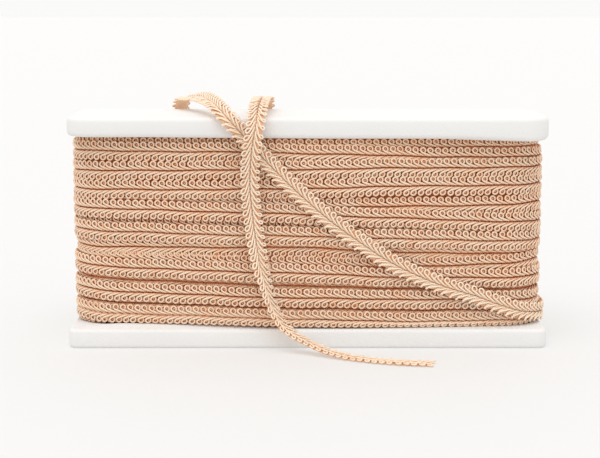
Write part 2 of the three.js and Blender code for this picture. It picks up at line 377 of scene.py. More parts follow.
foam = {
    "cornerRadius": 5.0,
    "edgeRound": 1.9,
    "edgeSteps": 5,
    "cornerSteps": 8,
    "sideSteps": 36,
    "ripple": 0.10,               # how far the cut sides wander
    # the underside of the top flange sags by this much at these places along it
    "sagPlaces": [-125.0, -80.0, -41.0, 12.0, 63.0, 83.0, 104.0, 115.0, 122.0, 126.0],
    "sagDepths": [0.0, 0.1, 0.5, 0.85, 0.85, 1.0, 1.9, 2.4, 2.0, 1.4],
    # the top of the bottom flange swells by this much under the winding
    "swellPlaces": [-125.0, -112.0, -100.0, -75.0, -45.0, 0.0, 65.0, 105.0, 125.0],
    "swellHeights": [0.0, 1.0, 1.8, 1.9, 1.5, 0.7, 0.3, 0.0, 0.0],
    # what share of the swell is reached on three rings, this far in from the rounded edge
    "swellFrom": [1.0, 3.4, 6.0],
    "swellShares": [0.1, 0.75, 1.0],
}
topFoam = {**foam, "cornerRadius": 12.5, "edgeRound": 2.4}


def sagAt(x):
    return np.interp(x, foam["sagPlaces"], foam["sagDepths"])


def swellAt(x):
    return np.interp(x, foam["swellPlaces"], foam["swellHeights"])


def boardOutline(half, values, inset):
    radius = values["cornerRadius"] - inset
    corners = []
    for cornerX, cornerY, start in ((1, 1, 0), (-1, 1, 90), (-1, -1, 180), (1, -1, 270)):
        centre = np.array([cornerX, cornerY]) * (half - values["cornerRadius"])
        angles = np.radians(start + np.linspace(0, 90, values["cornerSteps"] + 1))
        corners.append(centre + radius * np.stack([np.cos(angles), np.sin(angles)], 1))
    outline = []
    for here, after in zip(corners, corners[1:] + corners[:1]):
        outline.append(here)
        shares = np.linspace(0, 1, values["sideSteps"] + 1)[1:-1, None]
        outline.append(here[-1] * (1 - shares) + after[0] * shares)
    return np.concatenate(outline)


def foamFlange(name, node, values, seed, sags):
    low, high = nodeBox(node)
    half = (high - low)[:2] / 2
    centre = (high + low)[:2] / 2
    angles = np.linspace(0, math.pi / 2, values["edgeSteps"] + 1)
    edge = values["edgeRound"]
    lower = [(edge * (1 - math.sin(a)), low[2] + edge * (1 - math.cos(a))) for a in angles]
    upper = [(inset, high[2] + low[2] - z) for inset, z in reversed(lower)]
    phases = np.random.default_rng(seed).uniform(0, 2 * math.pi, 3)
    rings = []
    corner = values["cornerRadius"]
    for inset, z in lower + upper:
        ring = boardOutline(half, values, inset)
        wander = sum(np.sin(ring @ direction / length + phase) for direction, length, phase in (
            (np.array([1.0, 0.3]), 17.0, phases[0]),
            (np.array([0.4, 1.0]), 9.0, phases[1]),
            (np.array([-0.8, 0.6]), 5.5, phases[2] + z / 6),
        )) / 3
        outward = ring / np.linalg.norm(ring, axis=1, keepdims=True)
        ring = ring - outward * (0.5 + 0.5 * wander[:, None]) * values["ripple"] + centre
        sag = sagAt(ring[:, 0]) if sags and z < (low[2] + high[2]) / 2 else np.zeros(len(ring))
        rings.append(np.column_stack([ring, z - sag]))
    if not sags:
        for inset, share in zip(values["swellFrom"], values["swellShares"]):
            inset = edge + inset
            wide = {**values, "cornerRadius": max(corner, inset + 1)}
            ring = boardOutline(half - max(inset - corner + 1, 0), wide, min(inset, corner - 1)) + centre
            rings.append(np.column_stack([ring, high[2] + share * swellAt(ring[:, 0])]))
    count = len(rings[0])
    faces = []
    for i in range(len(rings) - 1):
        for j in range(count):
            k = (j + 1) % count
            faces.append((i * count + j, i * count + k, (i + 1) * count + k, (i + 1) * count + j))
    faces.append(tuple(reversed(range(count))))
    faces.append(tuple((len(rings) - 1) * count + j for j in range(count)))
    piece = addSolid(name, np.concatenate(rings), faces, foamBoard)
    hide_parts(node)


foamFlange("foam_flange_bottom", "flange_bottom", foam, 3, False)
foamFlange("foam_flange_top", "flange_top", topFoam, 4, True)
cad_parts["core_panel"].data.materials.clear()
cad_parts["core_panel"].data.materials.append(foamBoard)
print("foam board")

# The trim: one strand of yarn looped along both edges of a centre line

trim = {
    "pitch": 3.9,                 # from one loop to the next along an edge
    "halfWidth": 5.0,
    "halfThickness": 0.9,
    "yarnRadius": 0.43,
    "sizeJitter": 0.03,
    "placeJitter": 0.06,
    "leanJitter": 0.035,
    "liftJitter": 0.05,
    "leanFrom": 0.7,
    # tone of the loops: a base mix towards the deep colour with random tone, and painted shade on lower yarn
    # and on each strand's inner side
    "shade": 0.16,
    "shadeJitter": 0.08,
    "shadeByHeight": 0.45,
    "shadeDownFlank": 0.9,
    "crownFrom": 2.4,             # a row's edges curl back from here out
    "crownDrop": 0.045,
    "bendShare": 0.9,             # how much closer the points lie where the yarn bends
    "tailsWithin": 1.8,           # the tails lie nearer the centre line than this
    "endTaper": 0.75,
}

# One loop, from its tail on the centre line, out round its end and back underneath: as a round ring where
# the trim is wound tight, and as a slim leaf where it hangs slack
ringPath = [
    {"along": 5.2, "across": 0.64, "height": -0.74}, {"along": 4.4, "across": 0.7, "height": -0.34},
    {"along": 3.5, "across": 0.92, "height": 0.04}, {"along": 2.6, "across": 1.2, "height": 0.28},
    {"along": 1.7, "across": 1.5, "height": 0.39}, {"along": 0.8, "across": 1.8, "height": 0.43},
    {"along": -0.1, "across": 2.12, "height": 0.43}, {"along": -0.85, "across": 2.52, "height": 0.41},
    {"along": -1.24, "across": 3.08, "height": 0.38}, {"along": -1.28, "across": 3.7, "height": 0.34},
    {"along": -0.86, "across": 4.4, "height": 0.3}, {"along": 0.0, "across": 4.76, "height": 0.25},
    {"along": 0.84, "across": 4.42, "height": 0.2}, {"along": 1.26, "across": 3.76, "height": 0.13},
    {"along": 1.28, "across": 3.08, "height": 0.04}, {"along": 1, "across": 2.46, "height": -0.08},
    {"along": 0.55, "across": 1.98, "height": -0.26}, {"along": 0.42, "across": 1.5, "height": -0.48},
    {"along": 0.95, "across": 1.08, "height": -0.62}, {"along": 1.9, "across": 0.84, "height": -0.7},
    {"along": 2.9, "across": 0.7, "height": -0.74}, {"along": 3.8, "across": 0.66, "height": -0.75},
]
leafPath = [
    {"along": 4.4, "across": 0.55, "height": -0.70}, {"along": 3.7, "across": 0.60, "height": -0.25},
    {"along": 3.0, "across": 0.76, "height": 0.12}, {"along": 2.3, "across": 1.12, "height": 0.28},
    {"along": 1.5, "across": 1.60, "height": 0.34}, {"along": 0.7, "across": 2.10, "height": 0.36},
    {"along": -0.1, "across": 2.60, "height": 0.37}, {"along": -0.9, "across": 3.08, "height": 0.37},
    {"along": -1.65, "across": 3.52, "height": 0.36}, {"along": -2.4, "across": 3.94, "height": 0.34},
    {"along": -3.1, "across": 4.28, "height": 0.31}, {"along": -3.7, "across": 4.48, "height": 0.28},
    {"along": -4.25, "across": 4.36, "height": 0.25}, {"along": -4.4, "across": 3.92, "height": 0.22},
    {"along": -3.7, "across": 3.44, "height": 0.20}, {"along": -2.9, "across": 2.98, "height": 0.18},
    {"along": -2.1, "across": 2.50, "height": 0.15}, {"along": -1.2, "across": 2.00, "height": 0.10},
    {"along": -0.35, "across": 1.52, "height": 0.02}, {"along": 0.5, "across": 1.08, "height": -0.12},
    {"along": 1.3, "across": 0.76, "height": -0.38}, {"along": 2.1, "across": 0.60, "height": -0.68},
]

# The threads that cross behind each ring, as a small pad, painted in a darker colour for the shade behind the
# ring
crossedThreads = {"along": 0.0, "across": 3.4, "alongRadius": 0.95, "acrossRadius": 1.1, "height": -0.2,
                  "thickness": 0.3, "sides": 6, "leafOffset": np.array([-2.0, 0.1, 0.0])}


def smoothLine(points, count):
    # Catmull-Rom through the points, with closer steps where the line bends
    padded = np.concatenate([2 * points[:1] - points[1:2], points, 2 * points[-1:] - points[-2:-1]])
    fine = []
    for i in range(len(points) - 1):
        a, b, c, d = padded[i:i + 4]
        t = np.linspace(0, 1, 12, endpoint=False)[:, None]
        fine.append(0.5 * (2 * b + (c - a) * t + (2 * a - 5 * b + 4 * c - d) * t ** 2
                           + (3 * b - a - 3 * c + d) * t ** 3))
    line = np.concatenate(fine + [points[-1:]])
    steps = np.diff(line, axis=0)
    lengths = np.linalg.norm(steps, axis=1)
    directions = steps / lengths[:, None]
    bends = np.linalg.norm(np.diff(directions, axis=0, prepend=directions[:1]), axis=1)
    share = np.cumsum(lengths) / lengths.sum() + trim["bendShare"] * np.cumsum(bends) / bends.sum()
    share = np.concatenate([[0], share])
    at = np.linspace(0, share[-1], count)
    return np.stack([np.interp(at, share, line[:, k]) for k in range(line.shape[1])], 1)


def loopStations(first, last, side, values, look, rng):
    # Along, across, height and tone with painted shade of every loop of one edge, and of the pad behind each
    # ring
    ring, leaf = (smoothLine(np.array([[p["along"], p["across"], p["height"]] for p in path]), look["steps"])
                  for path in (ringPath, leafPath))
    pad = crossedThreads
    angles = np.arange(pad["sides"]) * 2 * math.pi / pad["sides"]
    rim = np.stack([
        pad["along"] + pad["alongRadius"] * np.cos(angles),
        pad["across"] + pad["acrossRadius"] * np.sin(angles),
        np.full(pad["sides"], pad["height"]),
    ], 1)
    front = [pad["along"], pad["across"], pad["height"] + pad["thickness"] / 2]
    back = [pad["along"], pad["across"], pad["height"] - pad["thickness"]]
    poles = np.array([front, back])
    pads = np.concatenate([rim, poles])
    shift = 0.5 if side < 0 else 0.0
    pitch = values["pitch"]
    numbers = np.arange(math.ceil(first / pitch - shift), math.ceil(last / pitch - shift))
    centres = ((numbers + shift) * pitch)[:, None]

    def scatter(amount):
        return amount * rng.standard_normal((len(centres), 1))

    size = 1 + scatter(values["sizeJitter"])
    lean = look["lean"](centres, side) + scatter(look["jitter"] * values["leanJitter"])
    slack = np.clip(look["slack"](centres, side), 0, 1)
    place = centres + scatter(values["placeJitter"])
    lift = scatter(look["jitter"] * values["liftJitter"])
    # Base tone, painted shade of rows sunk behind their neighbours, and random tone
    shade = values["shade"] + look["shade"](centres) + scatter(values["shadeJitter"])
    ringCentre = pad["across"]

    def laid(tight, slim):
        along, across, height = ((1 - slack) * a + slack * b for a, b in zip(tight.T, slim.T))
        across = ringCentre + (across - ringCentre) * np.where(across > ringCentre, size, 1)
        across = across - look["closer"] * np.clip(values["tailsWithin"] - across, 0, 1)
        along = along - lean * np.clip(across - values["leanFrom"], 0, None)
        outer = np.clip(across - values["crownFrom"], 0, None)
        height = height + lift - look["curl"] * values["crownDrop"] * outer ** 2
        # Painted shade: yarn that lies lower in the trim is coloured deeper
        toneAndPaintedShade = shade - values["shadeByHeight"] * height
        return place + along, side * across, height, toneAndPaintedShade

    return laid(ring, leaf), laid(pads, pads + pad["leafOffset"])


def yarnTubes(lines, outward, toneAndPaintedShade, radius, sides):
    # One closed tube along each line. lines and outward are (loops, steps, 3)
    loops, steps, _ = lines.shape
    tangent = np.gradient(lines, axis=1)
    tangent /= np.linalg.norm(tangent, axis=2, keepdims=True)
    sideways = np.cross(tangent, outward)
    sideways /= np.linalg.norm(sideways, axis=2, keepdims=True)
    upward = np.cross(sideways, tangent)
    angles = math.pi / 2 + np.arange(sides) * 2 * math.pi / sides
    taper = np.ones(steps)
    taper[0] = taper[-1] = trim["endTaper"]
    ring = np.cos(angles)[:, None] * sideways[:, :, None] + np.sin(angles)[:, None] * upward[:, :, None]
    points = lines[:, :, None] + radius * taper[:, None, None] * ring
    index = np.arange(loops * steps * sides).reshape(loops, steps, sides)
    here, after = index[:, :-1], index[:, 1:]
    quads = np.stack([here, np.roll(here, -1, 2), np.roll(after, -1, 2), after], -1).reshape(-1, 4)
    starts = index[:, 0, ::-1].reshape(-1, sides)
    ends = index[:, -1].reshape(-1, sides)

    # Painted shade: each strand's colour turns deeper round its inner side and stays pale on its outer crown
    flank = (1 - np.sin(angles)) / 2
    toneAndPaintedShade = np.clip(toneAndPaintedShade[:, :, None] + trim["shadeDownFlank"] * flank, 0, 1)
    travelled = np.zeros((loops, steps))
    travelled[:, 1:] = np.cumsum(np.linalg.norm(np.diff(lines, axis=1), axis=2), axis=1)
    i = np.arange(steps - 1)[None, :, None, None] + np.array([0, 0, 1, 1])
    j = np.arange(sides)[None, None, :, None] + np.array([0, 1, 1, 0])
    i, j = np.broadcast_arrays(i, j)
    loop = np.arange(loops)[:, None, None, None]
    wrapped = np.stack([travelled[loop, i], np.broadcast_to(j / sides, (loops, *j.shape[1:]))], -1)
    return {
        "points": points.reshape(-1, 3),
        "corners": np.concatenate([quads.ravel(), starts.ravel(), ends.ravel()]),
        "sizes": np.concatenate([np.full(len(quads), 4), np.full(2 * loops, sides)]),
        "uv": np.concatenate([wrapped.reshape(-1, 2), np.zeros((2 * loops * sides, 2))]),
        "toneAndPaintedShade": toneAndPaintedShade.ravel(),
        "paintedShadeBehindRing": np.zeros(loops * steps * sides),
    }


def crossedPads(places, toneAndPaintedShade, turned):
    # A closed pad for each ring: its rim, then the front and the back pole
    pads, count, _ = places.shape
    rim = count - 2
    index = np.arange(pads * count).reshape(pads, count)
    here = index[:, :rim]
    after = np.roll(here, -1, 1)
    front = np.stack([here, after, np.broadcast_to(index[:, rim:rim + 1], here.shape)], -1)
    back = np.stack([after, here, np.broadcast_to(index[:, rim + 1:], here.shape)], -1)
    faces = np.concatenate([front, back]).reshape(-1, 3)
    if turned:
        faces = faces[:, ::-1]
    return {
        "points": places.reshape(-1, 3),
        "corners": faces.ravel(),
        "sizes": np.full(len(faces), 3),
        "uv": np.tile([[0.0, 0.0], [0.4, 0.3], [0.2, 0.6]], (len(faces), 1)),
        "toneAndPaintedShade": np.clip(toneAndPaintedShade, 0, 1).ravel(),
        # painted shade: the pads take the darker colour of crossed threads in shade
        "paintedShadeBehindRing": np.ones(pads * count),
    }


def addTrim(name, parts, material):
    offsets = np.cumsum([0] + [len(part["points"]) for part in parts[:-1]])
    points = np.concatenate([part["points"] for part in parts])
    corners = np.concatenate([part["corners"] + offset for part, offset in zip(parts, offsets)])
    sizes = np.concatenate([part["sizes"] for part in parts])
    mesh = bpy.data.meshes.new(name)
    mesh.vertices.add(len(points))
    mesh.vertices.foreach_set("co", (points * millimetre).astype(np.float32).ravel())
    mesh.loops.add(len(corners))
    mesh.loops.foreach_set("vertex_index", corners.astype(np.int32))
    mesh.polygons.add(len(sizes))
    mesh.polygons.foreach_set("loop_start", np.concatenate([[0], np.cumsum(sizes)[:-1]]).astype(np.int32))
    mesh.polygons.foreach_set("loop_total", sizes.astype(np.int32))
    mesh.polygons.foreach_set("use_smooth", np.ones(len(sizes), bool))
    uv = mesh.uv_layers.new(name="alongYarn")
    uv.data.foreach_set("uv", np.concatenate([part["uv"] for part in parts]).astype(np.float32).ravel())
    for label in ("toneAndPaintedShade", "paintedShadeBehindRing"):
        attribute = mesh.attributes.new(label, "FLOAT", "POINT")
        numbers = np.concatenate([part[label] for part in parts])
        attribute.data.foreach_set("value", numbers.astype(np.float32))
    mesh.update(calc_edges=True)
    mesh.validate()
    mesh.materials.append(material)
    piece = addPiece(name, mesh)
    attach(piece, "root")
    return piece


def trimParts(first, last, look, rng, placeAt):
    # Both edges of a length of trim, laid by placeAt
    parts = []
    for side in (1, -1):
        loops, pads = loopStations(first, last, side, trim, look, rng)
        places, outward = placeAt(*loops[:3])
        parts.append(yarnTubes(places, outward, loops[3], look["yarnRadius"], look["sides"]))
        if look["pads"]:
            padPlaces, _ = placeAt(*pads[:3])
            parts.append(crossedPads(padPlaces, pads[3], side < 0))
    return parts


# The winding. Each row gives the height of its centre line at five places along the front, from left to
# right, and how far it stands in front of its neighbours there. Behind, it climbs to the row that follows it.

winding = {
    "endRadius": 25.0,
    "endCentre": 100.0,
    "halfDepth": 32.0,
    "columns": [0.05, 0.26, 0.485, 0.71, 0.945],
    "startTurn": 0.5,             # the first row is the loose run's way along the back
    "startBend": 29.0,            # travel past the right end where the loose run meets the winding
    "edgeGap": 0.1,               # yarn keeps this far from the flanges
    "shingle": 0.26,              # rows lean on each other along the back
    "shingleDrop": 0.55,
    "wander": 0.16,
    "lineWaves": [(11.3, 1.3), (5.1, 2.1)],     # length, and shift from row to row
    "proudWaves": [(8.7, 0.7), (23.0, 1.9)],
    # painted shade on rows sunk behind their neighbours, for each millimetre they sink, up to sunkMost
    "sunkShade": 0.09,
    "sunkMost": 2,
    "tuck": 1.3,
    "tuckAcross": 3.4,
    "tuckUpTo": 1.2,              # a row that stands this far in front of the one below doesn't tuck
    "crowdedBelow": 9.4,          # rows nearer than this crowd each other
    "crowdedOver": 3,             # and crowd fully when nearer still by this much
    "squeezeReach": 0.2,
    "squeezeLeast": 0.3,
    "leanUpper": 0.04,
    "leanLower": 0.12,
    "seed": 100,
    "hiddenSeed": 200,
}

windingRows = [
    {"heights": [17.2] * 5, "proud": [2.5] * 5},
    {"heights": [17.4, 16.5, 15.0, 13.3, 12.9], "proud": [-0.4, -0.3, -0.2, -0.2, -0.4]},
    {"heights": [29.7, 27.9, 26.4, 25.2, 23.4], "proud": [0, 0, 0, 0, -0.3]},
    {"heights": [42.6, 40.8, 39.4, 36.8, 35.8], "proud": [0] * 5},
    {"heights": [46.9, 44.6, 43.2, 42.3, 44.2], "proud": [-1.6, -1.6, -1.8, -1.5, -0.9]},
    {"heights": [52.2, 52.5, 52.8, 49.6, 48.4], "proud": [-1, -1.2, -1.7, -1.7, -1.6]},
    {"heights": [61.0, 59.9, 58.9, 57.0, 54.8], "proud": [0] * 5},
    {"heights": [72.6, 71.9, 70.3, 67.7, 64.6], "proud": [0] * 5},
    {"heights": [77.0, 76.2, 74.2, 74.2, 74.7], "proud": [-1.9, -1.9, -1.2, -0.8, -0.2]},
    {"heights": [82.2, 82.9, 83.8, 84.9, 84.5], "proud": [0] * 5},
    {"heights": [91.8, 93.0, 93.7, 94.3, 93.8], "proud": [0] * 5},
    {"heights": [102.4, 102.7, 102.0, 100.2, 98.9], "proud": [0, 0, -0.4, -0.6, -0.4]},
    {"heights": [104.9, 104.9, 104.9, 104.7, 104.6], "proud": [-1.6, -1.7, -1.7, -1.9, -2.0]},
    {"heights": [104.6] * 5, "proud": [-4] * 5},
]
hiddenRows = [
    {"heights": [15.6, 15.4, 14.2, 13.6, 13.4], "proud": [-1.5] * 5},
    {"heights": [23.4, 22.2, 20.8, 19.4, 18.2], "proud": [-1.4] * 5},
    {"heights": [36.0, 34.2, 32.4, 30.6, 29.2], "proud": [-1.9] * 5},
    {"heights": [64.0, 63.2, 62.0, 60.4, 58.4], "proud": [-1.9] * 5},
]
allRows = windingRows + hiddenRows
followedBy = np.arange(len(allRows))
followedBy[:len(windingRows) - 1] += 1
columnPlaces = np.array(winding["columns"])
rowHeights = np.array([row["heights"] for row in allRows])
rowProuds = np.array([row["proud"] for row in allRows], float)

faceRise = winding["halfDepth"] - winding["endRadius"]
faceRadius = winding["endRadius"] + (winding["endCentre"] ** 2 + faceRise ** 2) / (2 * faceRise)
faceCentre = faceRadius - winding["halfDepth"]
faceAngle = math.atan2(winding["endCentre"], faceCentre)
endTravel = winding["endRadius"] * (math.pi / 2 - faceAngle)
faceTravel = 2 * faceAngle * faceRadius
halfTurn = 2 * endTravel + faceTravel
fullTurn = 2 * halfTurn


def outlineAt(travel):
    # Place and outward direction in plan. Travel 0 is the left end, and the front comes first
    travel = np.mod(travel, fullTurn)
    behind = travel >= halfTurn
    travel = np.where(behind, travel - halfTurn, travel)
    onLeft = travel < endTravel
    onFace = ~onLeft & (travel < endTravel + faceTravel)
    forward = 1.5 * math.pi
    leftAngle = math.pi + travel / winding["endRadius"]
    frontAngle = forward - faceAngle + (travel - endTravel) / faceRadius
    rightAngle = forward + faceAngle + (travel - endTravel - faceTravel) / winding["endRadius"]
    angle = np.where(onLeft, leftAngle, np.where(onFace, frontAngle, rightAngle))
    radius = np.where(onFace, faceRadius, winding["endRadius"])
    centreX = np.where(onFace, 0, np.where(onLeft, -winding["endCentre"], winding["endCentre"]))
    centreY = np.where(onFace, faceCentre, 0)
    turned = np.where(behind, -1, 1)
    outX, outY = np.cos(angle), np.sin(angle)
    x, y = centreX + radius * outX, centreY + radius * outY
    return x * turned, y * turned, outX * turned, outY * turned


def alongFront(table, row, place):
    slopes = np.gradient(table, columnPlaces, axis=1)
    place = np.clip(place, columnPlaces[0], columnPlaces[-1])
    k = np.clip(np.searchsorted(columnPlaces, place, side="right") - 1, 0, len(columnPlaces) - 2)
    width = columnPlaces[k + 1] - columnPlaces[k]
    t = (place - columnPlaces[k]) / width
    a, b = table[row, k], table[row, k + 1]
    slopeA, slopeB = slopes[row, k] * width, slopes[row, k + 1] * width
    return ((2 * t ** 3 - 3 * t ** 2 + 1) * a + (t ** 3 - 2 * t ** 2 + t) * slopeA
            + (3 * t ** 2 - 2 * t ** 3) * b + (t ** 3 - t ** 2) * slopeB)


def smoothStep(t):
    t = np.clip(t, 0, 1)
    return t * t * (3 - 2 * t)


def rowAt(table, row, turn):
    front = alongFront(table, row, turn * 2)
    after = followedBy[row]
    share = smoothStep(turn * 2 - 1)
    back = table[row, -1] * (1 - share) + table[after, 0] * share
    return np.where(turn <= 0.5, front, back)


def tuckAt(row, turn):
    # Where two rows crowd each other, the lower edge of the upper one tucks in behind
    below = np.maximum(row - 1, 0)
    spacing = rowAt(rowHeights, row, turn) - rowAt(rowHeights, below, turn)
    step = rowAt(rowProuds, row, turn) - rowAt(rowProuds, below, turn)
    near = np.clip((winding["crowdedBelow"] - spacing) / winding["crowdedOver"], 0, 1)
    crowded = near * np.clip(1 - step / winding["tuckUpTo"], 0, 1)
    return winding["tuck"] * crowded * ((row > 1) & (row < len(windingRows)) & (turn < 0.5))


def rowWaves(waves, travel, row):
    return sum(np.sin(travel / length + shift * row) for length, shift in waves)


def windingAt(travel, across, height):
    # Travel runs on from row to row. Gives places and outward directions
    row = np.clip(np.floor(travel / fullTurn).astype(int), 0, len(allRows) - 1)
    turn = travel / fullTurn - row
    x, y, outX, outY = outlineAt(travel)
    line = rowAt(rowHeights, row, turn)
    proud = rowAt(rowProuds, row, turn)
    line = line + winding["wander"] * rowWaves(winding["lineWaves"], travel, row)
    proud = proud + winding["wander"] * rowWaves(winding["proudWaves"], travel, row) * 0.5
    behind = np.clip(np.sin((turn * 2 - 1) * math.pi), 0, 1) * (turn > 0.5)
    tuck = tuckAt(row, turn) * np.clip(-across / winding["tuckAcross"], 0, 1)
    lowest = bottomHigh[2] + swellAt(x) + winding["edgeGap"] + trim["yarnRadius"]
    highest = topLow[2] - sagAt(x) - winding["edgeGap"] - trim["yarnRadius"]
    reach = trim["halfWidth"] - trim["yarnRadius"] + winding["squeezeReach"]
    squeezeDown = np.clip((line - lowest) / reach, winding["squeezeLeast"], 1)
    squeezeUp = np.clip((highest - line) / reach, winding["squeezeLeast"], 1)
    across = across * np.where(across < 0, squeezeDown, squeezeUp)
    out = proud - trim["halfThickness"] + height - tuck
    out = out - behind * (winding["shingle"] * across + winding["shingleDrop"])
    places = np.stack([x + outX * out, y + outY * out, line + across], -1)
    outward = np.stack([outX, outY, behind * winding["shingle"]], -1)
    return places, outward / np.linalg.norm(outward, axis=-1, keepdims=True)


def woundLean(travel, side):
    return winding["leanUpper"] if side > 0 else winding["leanLower"]


def noSlack(travel, side):
    return np.zeros_like(travel)


def sunkShade(travel):
    # Painted shade: rows that are pushed behind their neighbours are coloured darker
    row = np.clip(np.floor(travel / fullTurn).astype(int), 0, len(allRows) - 1)
    proud = rowAt(rowProuds, row, travel / fullTurn - row)
    return winding["sunkShade"] * np.clip(-proud, 0, winding["sunkMost"])


woundLook = {"steps": 19, "sides": 5, "yarnRadius": 0.53, "lean": woundLean, "slack": noSlack, "curl": 1.0,
             "jitter": 1.0, "shade": sunkShade, "closer": 0.0, "pads": True}
hiddenLook = {**woundLook, "steps": 13, "sides": 4, "pads": False}


def windTurn(name, first, last, look, seed):
    parts = trimParts(first, last, look, np.random.default_rng(seed), windingAt)
    piece = addTrim(name, parts, woundYarn)
    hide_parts("wound_trim")


windStart = winding["startTurn"] * fullTurn + winding["startBend"]
turnEdges = [windStart] + [turn * fullTurn for turn in range(1, len(windingRows))]
for turn, (first, last) in enumerate(zip(turnEdges[:-1], turnEdges[1:])):
    windTurn(f"wound_turn_{turn:02d}", first, last, woundLook, winding["seed"] + turn)
for number in range(len(hiddenRows)):
    first = (len(windingRows) + number) * fullTurn
    windTurn(f"hidden_turn_{number + 1}", first, first + fullTurn, hiddenLook, winding["hiddenSeed"] + number)
print("winding,", len(turnEdges) - 1 + len(hiddenRows), "turns")

# What lies behind the rows: the turns of the layer below, as one surface painted dark for the shade they lie
# in

underLayer = {
    "behindRow": -2.7,
    "behindGroove": -3.8,
    "stations": 200,
    "levels": 70,
    "belowRow": 4.0,
    "margin": 0.3,
}


def addUnderLayer(values):
    turn = np.arange(values["stations"]) / values["stations"]
    x, y, outX, outY = outlineAt(turn * fullTurn)
    lowestRow = np.where(turn < 0.5, 1, 0)
    flangeTop = bottomHigh[2] + swellAt(x)
    low = np.maximum(rowAt(rowHeights, lowestRow, turn) - values["belowRow"], flangeTop + values["margin"])
    high = topLow[2] - sagAt(x) - values["margin"]
    z = low[:, None] + (high - low)[:, None] * np.linspace(0, 1, values["levels"])
    out = np.full(z.shape, values["behindGroove"])
    rows = np.arange(1, len(windingRows) - 2)
    for row in rows:
        line = rowAt(rowHeights, np.full(len(turn), row), turn)
        proud = rowAt(rowProuds, np.full(len(turn), row), turn)
        gap = np.abs(z - line[:, None]) / trim["halfWidth"]
        rise = values["behindRow"] + np.minimum(proud, 0)[:, None] - values["behindGroove"]
        out = np.maximum(out, values["behindGroove"] + rise * np.clip(1 - gap ** 4, 0, 1))
    points = np.stack([x[:, None] + outX[:, None] * out, y[:, None] + outY[:, None] * out, z], -1)
    stations, levels = z.shape
    index = np.arange(stations * levels).reshape(stations, levels)
    after = np.roll(index, -1, 0)
    faces = np.stack([index[:, :-1], after[:, :-1], after[:, 1:], index[:, 1:]], -1).reshape(-1, 4).tolist()
    faces.append(index[::-1, 0].tolist())
    faces.append(index[:, -1].tolist())
    piece = addSolid("wound_under_layer", points.reshape(-1, 3), faces, shadedYarn)
    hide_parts("wound_trim")


addUnderLayer(underLayer)
print("layer behind the rows")

# The loose run, from where it leaves the winding to its cut end. faces is the side its looped face looks to

